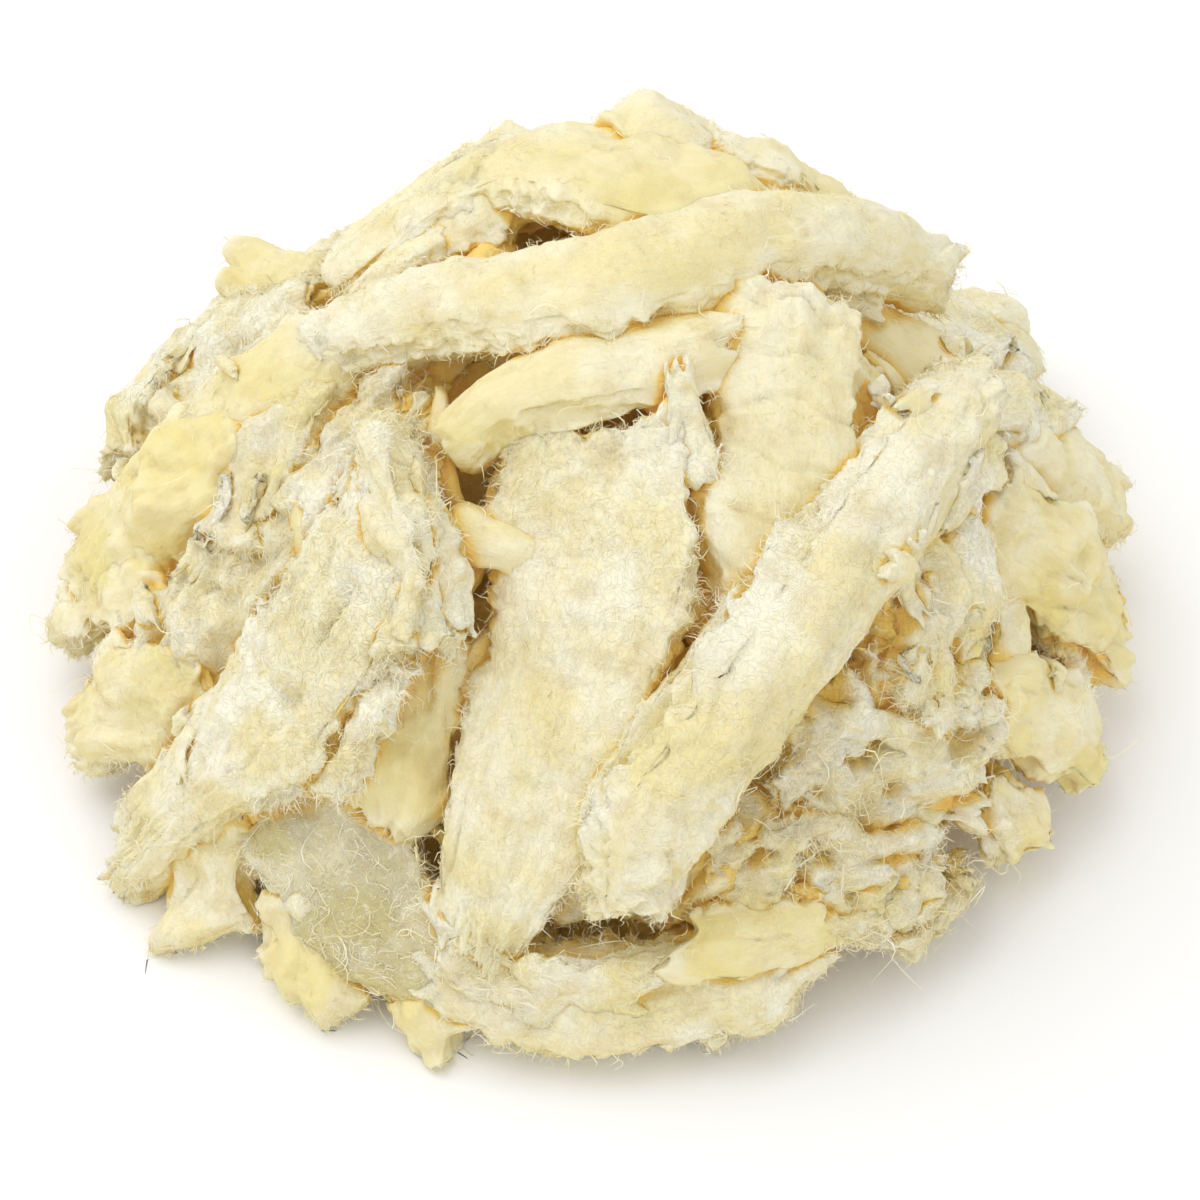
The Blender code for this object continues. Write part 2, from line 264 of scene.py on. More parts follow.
def make_torn_flesh():
    """Group that gives a straight block, long along X, the surface of torn dried flesh."""
    numbers = ["Seed", "Lump", "Crack", "Bundle", "Grain", "Tear", "Pit", "Groove"]
    numbers += ["Half Length", "Half Width"]
    tree, into, out = open_tree(
        "torn_flesh", "GeometryNodeTree",
        [("Geometry", GEOMETRY)] + [(name, NUMBER) for name in numbers], [("Geometry", GEOMETRY)],
    )
    given = into.outputs
    place = add_node(tree, "GeometryNodeInputPosition").outputs[0]
    normal = add_node(tree, "GeometryNodeInputNormal").outputs[0]

    def noise(scale, detail, stretch=(1, 1, 1), offset=0.0):
        seed = plus(tree, given["Seed"], offset)
        vector = stretched(tree, place, stretch)
        inputs = {"Vector": vector, "W": seed, "Scale": scale, "Detail": detail}
        made = add_node(tree, "ShaderNodeTexNoise", inputs, noise_dimensions="4D")
        return calc(tree, "SUBTRACT", made.outputs[0], 0.5)

    axes = add_node(tree, "ShaderNodeSeparateXYZ", {0: place}).outputs
    to_end = calc(tree, "DIVIDE", calc(tree, "ABSOLUTE", axes[0]), given["Half Length"])
    to_side = calc(tree, "DIVIDE", calc(tree, "ABSOLUTE", axes[1]), given["Half Width"])
    rim = ramp(tree, calc(tree, "MAXIMUM", to_end, to_side), TEAR_START, 1.0)

    lump = plus(tree, noise(130, 2), times(tree, noise(48, 1, (1, 1, 1), 17), 0.9))
    lumps = times(tree, lump, given["Lump"])
    crack_line = calc(tree, "ABSOLUTE", noise(75, 2, (0.6, 1, 1), 23))
    crack_depth = ramp(tree, crack_line, 0.0, 0.045, -1, 0)
    cracked_here = ramp(tree, noise(55, 1, (1, 1, 1), 29), -0.04, 0.08)
    cracks = times(tree, times(tree, crack_depth, cracked_here), given["Crack"])
    grain = times(tree, noise(900, 3, (0.12, 1, 1), 7), given["Grain"])
    fuzz = times(tree, noise(1300, 2, (0.6, 1, 1), 11), given["Grain"])
    ragged = plus(tree, noise(330, 4, (1, 1, 0.4), 3), -0.06)
    tears = times(tree, times(tree, ragged, rim), given["Tear"])
    bundle_place = stretched(tree, place, (0.22, 1, 1))
    bundle = add_node(
        tree, "ShaderNodeTexVoronoi", {"Vector": bundle_place, "W": given["Seed"], "Scale": 210.0},
        voronoi_dimensions="4D",
    ).outputs["Distance"]
    bundles = times(tree, calc(tree, "SUBTRACT", 0.4, bundle), given["Bundle"])

    wander = times(tree, noise(90, 1, (1, 1, 1), 5), 0.012)
    along = times(tree, plus(tree, axes[0], wander), 2 * math.pi / (7 * MM))
    wave = times(tree, plus(tree, calc(tree, "SINE", along), 1.0), 0.5)
    grooves = times(tree, ramp(tree, wave, 0.90, 1.0), times(tree, given["Groove"], -1))

    hollow = ramp(tree, noise(210, 3, (0.7, 1, 1), 31), -0.15, -0.02, -1, 0)
    pits = times(tree, hollow, given["Pit"])

    total = plus(tree, plus(tree, lumps, grain), plus(tree, tears, grooves))
    total = plus(tree, plus(tree, total, fuzz), plus(tree, pits, bundles))
    total = plus(tree, total, cracks)
    outwards = scaled(tree, normal, total)
    moved = add_node(tree, "GeometryNodeSetPosition", {"Geometry": given["Geometry"], "Offset": outwards})
    tree.links.new(moved.outputs[0], out.inputs[0])
    return tree


torn_flesh = make_torn_flesh()
print(torn_flesh.name, "has", len(torn_flesh.nodes), "nodes")

# %% [markdown]
# ## One torn strip
#
# By hand one would cut a block, soften its edges, rough it up and then press it onto the heap. The script
# does the same. A cube is scaled and bevelled, the Remesh modifier gives it an even skin of small faces,
# the group above tears it, and then its points are laid along a curve through the strip's stations. The
# bend tool needs a window, so that last step is a short sum on the points.

# %% Straight block


def deselect_all():
    if bpy.context.object and bpy.context.object.mode != "OBJECT":
        bpy.ops.object.mode_set(mode="OBJECT")
    bpy.ops.object.select_all(action="DESELECT")


def points_of(thing):
    """An array of the object's points."""
    flat = np.empty(len(thing.data.vertices) * 3)
    thing.data.vertices.foreach_get("co", flat)
    return flat.reshape(-1, 3)


def apply_all(thing):
    """Applies every modifier of one object."""
    deselect_all()
    thing.select_set(True)
    bpy.context.view_layer.objects.active = thing
    for modifier in list(thing.modifiers):
        bpy.ops.object.modifier_apply(modifier=modifier.name)


def straight_block(name, length, width, thickness, cell):
    """A block with soft edges and an even skin, long along X."""
    deselect_all()
    bpy.ops.mesh.primitive_cube_add(size=1)
    block = bpy.context.object
    block.name = name
    block.scale = (length, width, thickness)
    bpy.ops.object.transform_apply(location=False, rotation=False, scale=True)
    bpy.ops.object.mode_set(mode="EDIT")
    bpy.ops.mesh.select_all(action="SELECT")
    bpy.ops.mesh.bevel(offset=thickness * 0.18, segments=2, affect="EDGES")
    bpy.ops.object.mode_set(mode="OBJECT")
    skin = block.modifiers.new("skin", "REMESH")
    skin.mode = "VOXEL"
    skin.voxel_size = cell
    return block


def set_group_values(modifier, values):
    """Sets a geometry group's inputs on its modifier by their names."""
    for item in modifier.node_group.interface.items_tree:
        if item.name in values and item.in_out == "INPUT":
            modifier[item.identifier] = values[item.name]


# %% Laying a block on the heap


def curve_through(stations, t):
    """Smooth curve through the stations' rows of numbers, for an array of t from 0 to 1."""
    rows = np.array(stations, float)
    rows = np.vstack([2 * rows[0] - rows[1], rows, 2 * rows[-1] - rows[-2]])
    spans = len(stations) - 1
    i = np.clip((t * spans).astype(int), 0, spans - 1)
    f = (t * spans - i)[:, None]
    a, b, c, d = rows[i], rows[i + 1], rows[i + 2], rows[i + 3]
    return 0.5 * (
        2 * b + (c - a) * f + (2 * a - 5 * b + 4 * c - d) * f**2 + (3 * b - a - 3 * c + d) * f**3
    )


def placed_stations(stations):
    """Rows of point, outward direction and width, in metres, from rows of bearing, reach, lift, width."""
    bearing, reach, lift, width = np.array(stations, float).T
    outward = away_from_heap(bearing, reach)
    points = on_heap(bearing, reach) + outward * lift[:, None] * MM
    return np.hstack([points, outward, width[:, None] * MM])


ACROSS_DROOP = 0.085  # radius in metres of a strip's bend across its width
GROUND_GAP = 0.1 * MM
GROUND_GIVE = 1.4 * MM  # how softly a strip meets the ground
OUTLINE_WANDER = 0.20  # share of the width and thickness by which a strip swells and narrows
END_TEETH = 1.6 * MM
TWIST = 14  # degrees by which a strip turns about its length, either way


def resting_on_ground(height):
    """Heights squeezed softly above the ground, so that what lies on it flattens but keeps its thickness."""
    return GROUND_GAP + GROUND_GIVE * np.logaddexp(0, height / GROUND_GIVE)


def wandering(rng, t, waves=3.0):
    """A smooth curve of t that swings about zero, different for every draw."""
    total = np.zeros_like(t)
    for k in (0.5, 1.0, 1.7):
        total += np.sin(2 * np.pi * (k * waves / 2 * t + rng.random())) / (0.6 + k)
    return total / 1.6


def lay_on_heap(block, spine, length, widest, thin_edge, roll, rng):
    """Moves a straight block's points onto the curve through the strip's placed stations."""
    x, y, z = points_of(block).T
    across = y / widest
    near_end = np.square(2 * x / length) * np.sign(x)
    x = x + near_end * (rng.uniform(-0.4, 0.4) * y + END_TEETH * wandering(rng, across, 3.0))
    t = x / length + 0.5
    left_swell = 1 + OUTLINE_WANDER * wandering(rng, t)
    right_swell = 1 + OUTLINE_WANDER * wandering(rng, t)
    y = y * np.where(y > 0, left_swell, right_swell)
    z = z * (1 + OUTLINE_WANDER * wandering(rng, t)) * (1 - thin_edge * np.clip(2 * across, -1, 1) ** 2)
    lean = np.radians(roll + TWIST * wandering(rng, t, 1.5))
    inside = np.clip(t, 0.0, 1.0)
    here = curve_through(spine, inside)
    after = curve_through(spine, np.clip(inside + 0.01, 0, 1))
    before = curve_through(spine, np.clip(inside - 0.01, 0, 1))
    ahead = unit((after - before)[:, 0:3])
    outward = unit(here[:, 3:6])
    side = unit(np.cross(outward, ahead))
    outward = unit(np.cross(ahead, side))
    spread = y * here[:, 6] / widest
    drooped = z - np.square(spread) / (2 * ACROSS_DROOP)
    spread, drooped = (
        (spread * np.cos(lean) - drooped * np.sin(lean))[:, None],
        (spread * np.sin(lean) + drooped * np.cos(lean))[:, None],
    )
    past_end = ((t - inside) * length)[:, None]
    points = here[:, 0:3] + ahead * past_end + side * spread + outward * drooped
    points[:, 2] = resting_on_ground(points[:, 2])
    block.data.vertices.foreach_set("co", points.ravel())

    to_side = np.abs(y) / (widest / 2)
    to_end = np.abs(x) / (length / 2)
    rim = np.clip((np.maximum(to_side, to_end) - 0.7) / 0.3, 0, 1)
    sideways = side * (np.sign(y) * to_side**4)[:, None] + ahead * (np.sign(x) * to_end**6)[:, None]
    keep_vector(block, "grain_place", np.stack([x, y, z], axis=-1))
    keep_vector(block, "frays_towards", unit(sideways) * rim[:, None])
    keep_number(block, "rim", rim)


def keep_number(thing, name, values):
    """Stores one number for each point."""
    attribute = thing.data.attributes.new(name, "FLOAT", "POINT")
    attribute.data.foreach_set("value", np.asarray(values, np.float32))


def keep_vector(thing, name, values):
    """Stores one vector for each point."""
    attribute = thing.data.attributes.new(name, "FLOAT_VECTOR", "POINT")
    attribute.data.foreach_set("vector", np.asarray(values, np.float32).ravel())


# %% Torn strip
LOOKS = {  # yellow, fluff, grey and thin edges from 0 to 1, then amounts of relief in millimetres:
    # lump, crack, bundle, grain, tear, pit and groove
    "waxy": (0.55, 0.25, 0.00, 0.65, 6.0, 0.7, 0.8, 0.6, 5.0, 0.0, 0.0),
    "segmented": (0.42, 0.15, 0.05, 0.30, 4.0, 0.5, 0.6, 0.5, 4.5, 0.0, 0.6),
    "golden": (0.95, 0.25, 0.00, 0.45, 8.0, 1.5, 1.5, 0.8, 7.0, 0.5, 0.0),
    "matted": (0.35, 0.75, 0.05, 0.40, 7.0, 1.8, 1.8, 1.3, 9.0, 0.8, 0.0),
    "shaded": (0.50, 0.70, 0.45, 0.40, 8.0, 1.8, 1.8, 1.2, 9.0, 0.8, 0.0),
    "leaf": (0.48, 0.50, 0.08, 0.35, 4.0, 0.9, 0.9, 0.9, 7.0, 0.3, 0.0),
    "ridge": (0.38, 0.60, 0.12, 0.75, 6.0, 1.0, 1.2, 1.0, 8.0, 0.4, 0.0),
    "spongy": (0.35, 0.80, 0.40, 0.30, 10.0, 3.0, 2.4, 1.4, 10.0, 5.0, 0.0),
    "green": (0.60, 0.60, 1.00, 0.30, 4.0, 0.8, 1.0, 0.6, 6.0, 0.0, 0.0),
}
FULL_RELIEF = 8  # millimetres; a thinner strip has less relief, but not less than the next share
LEAST_RELIEF = 0.42
SEED_STEP = 3.7  # keeps the surface noise of one strip clear of the next one's
COLOUR_SEED = 500
YELLOW_SWING, FLUFF_SWING = 0.35, 0.25  # where a strip is yellower it has less fluff
strips_made = []


def torn_strip(name, thickness, look, roll, stations, cell=0.56 * MM):
    """Makes one strip of the given thickness in millimetres, torn, rolled and laid on the heap."""
    yellow, fluff, grey, thin_edge, lump, crack, bundle, grain, tear, pit, groove = LOOKS[look]
    seed = len(strips_made)
    spine = placed_stations(stations)
    length = np.linalg.norm(np.diff(spine[:, 0:3], axis=0), axis=1).sum() * 1.03
    widest = spine[:, 6].max()
    strip = straight_block(name, length, widest, thickness * MM, cell)
    tearing = strip.modifiers.new("tearing", "NODES")
    tearing.node_group = torn_flesh
    amounts = {"Lump": lump, "Crack": crack, "Bundle": bundle, "Grain": grain}
    amounts |= {"Tear": tear, "Pit": pit, "Groove": groove}
    fullness = min(1.0, max(LEAST_RELIEF, thickness / FULL_RELIEF))
    amounts = {label: amount * fullness * MM for label, amount in amounts.items()}
    amounts |= {"Seed": seed * SEED_STEP, "Half Length": length / 2, "Half Width": widest / 2}
    set_group_values(tearing, amounts)
    apply_all(strip)
    lay_on_heap(strip, spine, length, widest, thin_edge, roll, np.random.default_rng(seed))
    points = len(strip.data.vertices)
    along = np.empty(points * 3)
    strip.data.attributes["grain_place"].data.foreach_get("vector", along)
    change = wandering(np.random.default_rng(COLOUR_SEED + seed), along[0::3] / length + 0.5, 1.5)
    keep_number(strip, "yellow", np.clip(yellow + YELLOW_SWING * change, 0, 1))
    keep_number(strip, "fluff", np.clip(fluff - FLUFF_SWING * change, 0, 1))
    keep_number(strip, "grey", np.full(points, grey))
    strip.data.shade_smooth()
    strips_made.append(strip)
    return strip


def joined(name, things):
    """Joins objects into one piece."""
    deselect_all()
    for thing in things:
        thing.select_set(True)
    bpy.context.view_layer.objects.active = things[0]
    bpy.ops.object.join()
    piece = bpy.context.object
    piece.name = name
    print(name, len(things), "strips,", len(piece.data.polygons) * 2, "triangles")
    return piece


def piece_from_table(name, table):
    """Makes one piece of all the strips in a table."""
    return joined(name, [torn_strip(label, *row) for label, row in table.items()])


# %% [markdown]
# ## The strips that make the heap
#
# Each strip is named by its place. Its row gives its thickness in millimetres, how it looks, and its
# stations: bearing, reach, lift above the rounded heap, and width, the last two in millimetres. The summit
# carries the longest, a waxy strip that lies right across, on a broad slab.

# %% Summit strips
SUMMIT_STRIPS = {
    "summit_strip": (12, "waxy", -20, [(-76, 0.47, 3, 10), (-60, 0.30, 3, 14), (0, 0.15, 3, 15),
                                       (95, 0.30, 4, 14), (112, 0.58, 13, 6)]),
    "summit_slab": (11, "waxy", -8, [(-106, 0.44, 4, 17), (-140, 0.20, 2, 27), (125, 0.18, 1, 29),
                                     (116, 0.46, 6, 22)]),
    "summit_roll": (10, "waxy", 0, [(-118, 0.46, 4, 10), (-138, 0.32, 3, 14), (-165, 0.22, 1, 12)]),
    "summit_hump": (12, "waxy", 10, [(172, 0.18, 2, 14), (154, 0.27, 4, 17), (142, 0.36, 3, 12)]),
    "summit_lump": (11, "waxy", -15, [(142, 0.26, 3, 13), (132, 0.38, 7, 17), (122, 0.50, 7, 12)]),
    "summit_fill": (9, "golden", 0, [(-84, 0.38, -4, 14), (-60, 0.24, -5, 16), (0, 0.12, -5, 16),
                                     (92, 0.26, -4, 14)]),
    "summit_fill_back": (9, "waxy", 0, [(-98, 0.34, 0, 14), (-125, 0.20, 2, 18), (165, 0.10, 2, 17)]),
    "left_tab": (8, "golden", 10, [(-119, 0.66, 13, 11), (-116, 0.48, 4, 10)]),
    "left_curl": (6, "golden", 30, [(-98, 0.24, 0, 9), (-92, 0.36, 1, 11), (-86, 0.46, -1, 10)]),
    "left_point": (9, "waxy", -18, [(-72, 0.42, 2, 12), (-77, 0.56, 4, 14), (-82, 0.68, 5, 5)]),
}
summit_strips = piece_from_table("summit_strips", SUMMIT_STRIPS)

# %% Left and front strips
LEFT_STRIPS = {
    "left_back_upper": (12, "matted", -20, [(-94, 0.44, 1, 14), (-100, 0.60, 3, 19), (-100, 0.74, 4, 15)]),
    "left_back_lower": (12, "matted", 25, [(-106, 0.72, 3, 16), (-101, 0.81, 4, 18), (-95, 0.86, 2, 13)]),
    "left_lobe": (12, "golden", -15, [(-70, 0.60, 0, 15), (-78, 0.76, 2, 20), (-85, 0.92, 3, 15)]),
    "left_lobe_low": (9, "golden", 15, [(-70, 0.80, -1, 12), (-79, 0.89, 1, 15), (-84, 0.96, 2, 11)]),
    "left_wedge": (10, "golden", -10, [(-54, 0.82, -1, 14), (-62, 0.89, 1, 17), (-68, 0.97, 2, 10)]),
    "left_band": (11, "shaded", -22, [(-48, 0.36, -2, 13), (-53, 0.58, -1, 20), (-59, 0.74, -1, 21),
                                      (-63, 0.86, -1, 17)]),
    "left_fill": (9, "shaded", 10, [(-74, 0.46, 0, 13), (-66, 0.60, 1, 15), (-64, 0.72, 2, 12)]),
}
left_strips = piece_from_table("left_strips", LEFT_STRIPS)

FRONT_STRIPS = {
    "front_left": (11, "matted", 6, [(-44, 0.46, 5, 10), (-37, 0.58, 6, 21), (-38, 0.72, 6, 25),
                                     (-45, 0.85, 4, 20), (-53, 1.00, 3, 10)]),
    "front_left_crest": (8, "matted", 30, [(-43, 0.46, 9, 7), (-35, 0.51, 11, 9), (-28, 0.59, 10, 11),
                                           (-25, 0.67, 8, 8)]),
    "front_left_lobe": (9, "matted", 24, [(-37, 0.52, 5, 10), (-27, 0.58, 6, 13), (-21, 0.66, 6, 9)]),
    "front_left_flap": (7, "matted", 20, [(-30, 0.66, 5, 13), (-30, 0.74, 6, 14), (-34, 0.83, 4, 10)]),
    "centre_leaf": (8, "leaf", 9, [(2, 0.36, 2, 24), (0, 0.52, 3, 28), (-3, 0.66, 3, 27), (-9, 0.79, 4, 22),
                                   (-13, 0.93, 3, 11)]),
    "gap_fill": (9, "golden", 0, [(-27, 0.64, -3, 12), (-25, 0.74, -2, 15), (-24, 0.84, -2, 14)]),
    "leaf_corner": (4, "matted", 0, [(19, 0.47, 4, 9), (21, 0.38, 6, 6), (22, 0.31, 9, 3)]),
    "centre_wedge": (10, "waxy", 12, [(44, 0.30, 2, 11), (6, 0.29, 3, 14), (-24, 0.36, 3, 11),
                                      (-33, 0.45, 2, 5)]),
}
front_strips = piece_from_table("front_strips", FRONT_STRIPS)

# %% Strips along the foot
FOOT_STRIPS = {
    "foot_band": (10, "leaf", -20, [(-20, 0.94, 0, 14), (-3, 0.96, 0, 16), (11, 0.95, 1, 15),
                                         (24, 0.93, 0, 13)]),
    "foot_fill": (9, "matted", 0, [(-8, 0.87, -4, 13), (10, 0.85, -3, 15), (26, 0.84, -3, 12)]),
    "front_sheet": (7, "green", -8, [(-39, 0.86, 0, 16), (-26, 0.92, 1, 21), (-9, 0.96, 1, 14)]),
    "foot_over": (5, "shaded", 10, [(-17, 0.92, 3, 10), (-6, 0.95, 4, 13), (6, 0.94, 4, 11)]),
    "foot_over_right": (6, "waxy", -10, [(8, 0.91, 5, 8), (16, 0.92, 5, 11), (25, 0.92, 4, 8)]),
    "front_leaf": (9, "golden", 10, [(-46, 0.88, -1, 14), (-43, 1.02, 0, 12)]),
    "foot_leaf": (9, "golden", -10, [(-33, 0.92, -1, 13), (-30, 1.02, 0, 13)]),
    "foot_crumb": (8, "golden", 0, [(-20, 0.97, 0, 10), (-14, 1.02, 0, 10)]),
}
foot_strips = piece_from_table("foot_strips", FOOT_STRIPS)

# %% Right strips
RIGHT_STRIPS = {
    "right_slab": (10, "segmented", 5, [(75, 0.33, 2, 23), (48, 0.42, 2, 24), (34, 0.53, 2, 21),
                                        (24, 0.64, 2, 13)]),
    "small_flake": (8, "golden", -20, [(78, 0.48, -2, 13), (54, 0.55, -2, 13)]),
    "right_ridge": (16, "ridge", -24, [(83, 0.60, 6, 10), (53, 0.58, 6, 15), (27, 0.65, 7, 18),
                                       (8, 0.77, 7, 20), (3, 0.87, 6, 13)]),
    "right_back": (10, "waxy", 20, [(106, 0.46, -1, 13), (95, 0.60, 1, 16), (85, 0.70, 0, 14)]),
    "right_point": (9, "matted", -15, [(84, 0.60, 2, 14), (92, 0.72, 4, 13), (98, 0.83, 7, 5)]),
    "right_outer": (11, "golden", 20, [(86, 0.70, 1, 15), (92, 0.82, 3, 17), (96, 0.93, 3, 12)]),
    "far_right": (10, "golden", 12, [(71, 0.70, 1, 15), (74, 0.83, 2, 19), (78, 0.95, 2, 14)]),
    "right_low": (10, "golden", -12, [(52, 0.82, 0, 14), (59, 0.90, 2, 16), (64, 0.97, 2, 11)]),
    "right_block": (9, "golden", 10, [(48, 0.90, -1, 11), (52, 0.98, 1, 10)]),
    "rim_front": (9, "matted", 15, [(68, 0.90, -3, 15), (78, 0.93, -2, 18), (88, 0.93, -2, 15)]),
    "rim_side": (9, "waxy", 25, [(84, 0.90, -3, 15), (95, 0.93, -2, 19), (106, 0.92, -2, 15)]),
    "rim_back": (9, "golden", 20, [(102, 0.91, -3, 14), (112, 0.93, -2, 17), (122, 0.92, -2, 13)]),
    "pale_curl": (5, "matted", 25, [(74, 0.56, 6, 10), (70, 0.62, 7, 12), (66, 0.68, 5, 11)]),
    "ridge_flake": (7, "matted", -10, [(60, 0.66, 4, 12), (55, 0.71, 5, 14), (50, 0.75, 3, 12)]),
    "ridge_flake_low": (7, "spongy", 10, [(47, 0.68, 3, 12), (42, 0.74, 4, 13), (36, 0.77, 2, 11)]),
}
right_strips = piece_from_table("right_strips", RIGHT_STRIPS)

# %% Sponge flakes
SPONGE_FLAKES = {
    "sponge_upper": (13, "spongy", -20, [(64, 0.60, 0, 18), (52, 0.70, 1, 22), (46, 0.82, 2, 19)]),
    "sponge_middle": (12, "spongy", 15, [(22, 0.77, -1, 18), (36, 0.81, 1, 21), (48, 0.89, 1, 16)]),
    "sponge_front": (11, "spongy", -15, [(10, 0.86, -1, 14), (25, 0.89, 1, 17), (40, 0.93, 1, 12)]),
    "sponge_foot": (9, "spongy", 10, [(22, 0.92, 0, 12), (33, 0.94, 0, 13), (42, 0.96, 0, 10)]),
}
sponge_flakes = piece_from_table("sponge_flakes", SPONGE_FLAKES)

# %% [markdown]
# ## The far side
#
# Round the back the strips follow no plan but the same habits: they run mostly downhill, they overlap, and
# they come in every width. Rings of strips are drawn with a fixed seed, so the heap is the same each time.

# %% Far side
BACK_RINGS = [(0.36, 4), (0.58, 6), (0.76, 8), (0.90, 10)]  # reach of the middle, number of strips
BACK_FROM, BACK_TO = 110, 250
BACK_LOOKS = ["waxy", "matted", "golden", "leaf", "segmented", "spongy"]
far_side = random.Random(4)
far_looks = random.Random(5)
back_strips = []
for ring, (reach, count) in enumerate(BACK_RINGS):
    for i in range(count):
        bearing = BACK_FROM + (BACK_TO - BACK_FROM) * (i + 0.5) / count + far_side.uniform(-5, 5)
        swing = far_side.uniform(-9, 9) / reach
        half = 0.13 * far_side.uniform(0.7, 1.1)
        width = 19 * far_side.uniform(0.7, 1.2)
        lift = far_side.uniform(-1, 3) * (1.1 - reach)
        start_width, end_width = width * far_side.uniform(0.6, 0.9), width * far_side.uniform(0.5, 0.9)
        row = [
            (bearing - swing, max(0.10, reach - half), lift, start_width),
            (bearing, reach, lift + 1, width),
            (bearing + swing, min(0.98, reach + half), lift, end_width),
        ]
        thickness = 9 * far_side.uniform(0.8, 1.2)
        roll = far_side.uniform(-28, 28)
        look = far_looks.choice(BACK_LOOKS)
        back_strips.append(torn_strip(f"back_{ring}_{i}", thickness, look, roll, row, cell=1.1 * MM))
back_strips = joined("back_strips", back_strips)

# %% [markdown]
# ## Small shreds between the strips
#
# Tearing leaves short shreds that fall into the gaps. They are made like the strips, but thin, short and
# turned every way, and they lie a little lower than the strips so that they show in the gaps.

# %% Small shreds
SMALL_SHREDS = 150
SHREDS_TURN = 0.75  # past this reach shreds lie round the rim and not across it
shreds = random.Random(11)
small_shreds = []
for i in range(SMALL_SHREDS):
    bearing = shreds.uniform(-180, 180)
    reach = 0.89 * math.sqrt(shreds.uniform(0.03, 1))
    turn = shreds.uniform(0, 2 * math.pi)
    if reach > SHREDS_TURN:
        turn = math.pi / 2 + shreds.uniform(-0.5, 0.5)
    half = shreds.uniform(4, 10) * MM
    step_reach = half * math.cos(turn) / HALF_WIDTH
    step_bearing = math.degrees(half * math.sin(turn) / (HALF_WIDTH * max(reach, 0.15)))
    lift, width = shreds.uniform(-7, 1), shreds.uniform(4, 9)
    row = [
        (bearing - step_bearing, max(0.02, reach - step_reach), lift - 1, width * 0.8),
        (bearing, reach, lift + shreds.uniform(0, 2), width),
        (bearing + step_bearing, min(0.97, reach + step_reach), lift, width * shreds.uniform(0.6, 1.0)),
    ]
    look = shreds.choice(["golden", "matted", "waxy", "spongy"])
    roll = shreds.uniform(-50, 50)
    small_shreds.append(torn_strip(f"shred_{i}", shreds.uniform(2.5, 6), look, roll, row, cell=1.05 * MM))
small_shreds = joined("small_shreds", small_shreds)

# %% [markdown]
# ## Flakes that lie on top
#
# The last shreds to fall lie on the strips. Each of these flakes is let down onto what is already there: a
# ray from outside finds the flesh under each of its stations, and the flake is laid at that height.

# %% Loose flakes
LOOSE_FLAKES = 48
FLAKE_PLACES = [(-110, -48), (40, 100), (105, 250)]  # bearings where the flesh is shredded
DROP = 30 * MM  # height above the rounded heap from which the flesh is looked for
LOWEST_LAY = -3.0  # lift in millimetres where there is no strip to land on
landed_on = [summit_strips, left_strips, front_strips, foot_strips, right_strips, sponge_flakes, back_strips]


def lift_of_flesh(bearing, reach):
    """How far, in millimetres, the strips stand above the rounded heap at one place."""
    away = Vector(away_from_heap(np.array(bearing), np.array(reach)))
    below = Vector(on_heap(np.array(bearing), np.array(reach)))
    lift = LOWEST_LAY
    for piece in landed_on:
        struck, where, _, _ = piece.ray_cast(below + away * DROP, -away, distance=2 * DROP)
        if struck:
            lift = max(lift, (where - below).dot(away) / MM)
    return lift


flakes = random.Random(23)
loose_flakes = []
for i in range(LOOSE_FLAKES):
    bearing = flakes.uniform(*FLAKE_PLACES[i % len(FLAKE_PLACES)])
    reach = flakes.uniform(0.5, 0.88)
    turn = flakes.uniform(0, 2 * math.pi)
    half = flakes.uniform(1.5, 4) * MM
    step_reach = half * math.cos(turn) / HALF_WIDTH
    step_bearing = math.degrees(half * math.sin(turn) / (HALF_WIDTH * reach))
    thickness, width = flakes.uniform(1.2, 2.6), flakes.uniform(2, 5)
    row = []
    for step, share in ((-1, flakes.uniform(0.6, 1.0)), (0, 1.0), (1, flakes.uniform(0.5, 1.0))):
        place = (bearing + step * step_bearing, min(0.95, max(0.05, reach + step * step_reach)))
        row.append((*place, lift_of_flesh(*place) + thickness * 0.3, width * share))
    look = flakes.choice(["matted", "spongy", "leaf"])
    roll = flakes.uniform(-25, 25)
    loose_flakes.append(torn_strip(f"flake_{i}", thickness, look, roll, row, cell=0.56 * MM))
loose_flakes = joined("loose_flakes", loose_flakes)

# %% [markdown]
# ## The packed core
#
# Deep in the heap the pieces are packed, yellow, and darker and golden as painted shade. Nothing there is
# seen whole, so one lumpy body does for all of it: a sphere pressed into the heap's form, a few millimetres
# inside the strips and drawn in at the ground, with its lower half cut off and closed by one face.

# %% Packed core
CORE_SHARE = 0.90
CORE_FOOT = 0.07  # share by which the core draws in at the ground
deselect_all()
bpy.ops.mesh.primitive_uv_sphere_add(segments=192, ring_count=96, radius=1)
packed_core = bpy.context.object
packed_core.name = "packed_core"
bpy.ops.object.mode_set(mode="EDIT")
bpy.ops.mesh.select_all(action="SELECT")
bpy.ops.mesh.bisect(plane_co=(0, 0, 0.02), plane_no=(0, 0, -1), use_fill=True, clear_outer=True)
bpy.ops.object.mode_set(mode="OBJECT")
core_points = points_of(packed_core)
core_reach = np.linalg.norm(core_points[:, 0:2], axis=1)
core_bearing = np.degrees(np.arctan2(core_points[:, 0], -core_points[:, 1]))
core_points = on_heap(core_bearing, core_reach) * CORE_SHARE
core_points[:, 0:2] *= 1 - CORE_FOOT * core_reach[:, None] ** 4
core_points[:, 2] = np.where(core_reach > 0.999, GROUND_GAP, core_points[:, 2])
packed_core.data.vertices.foreach_set("co", core_points.ravel())
core_skin = packed_core.modifiers.new("skin", "REMESH")
core_skin.mode = "VOXEL"
core_skin.voxel_size = 1.3 * MM
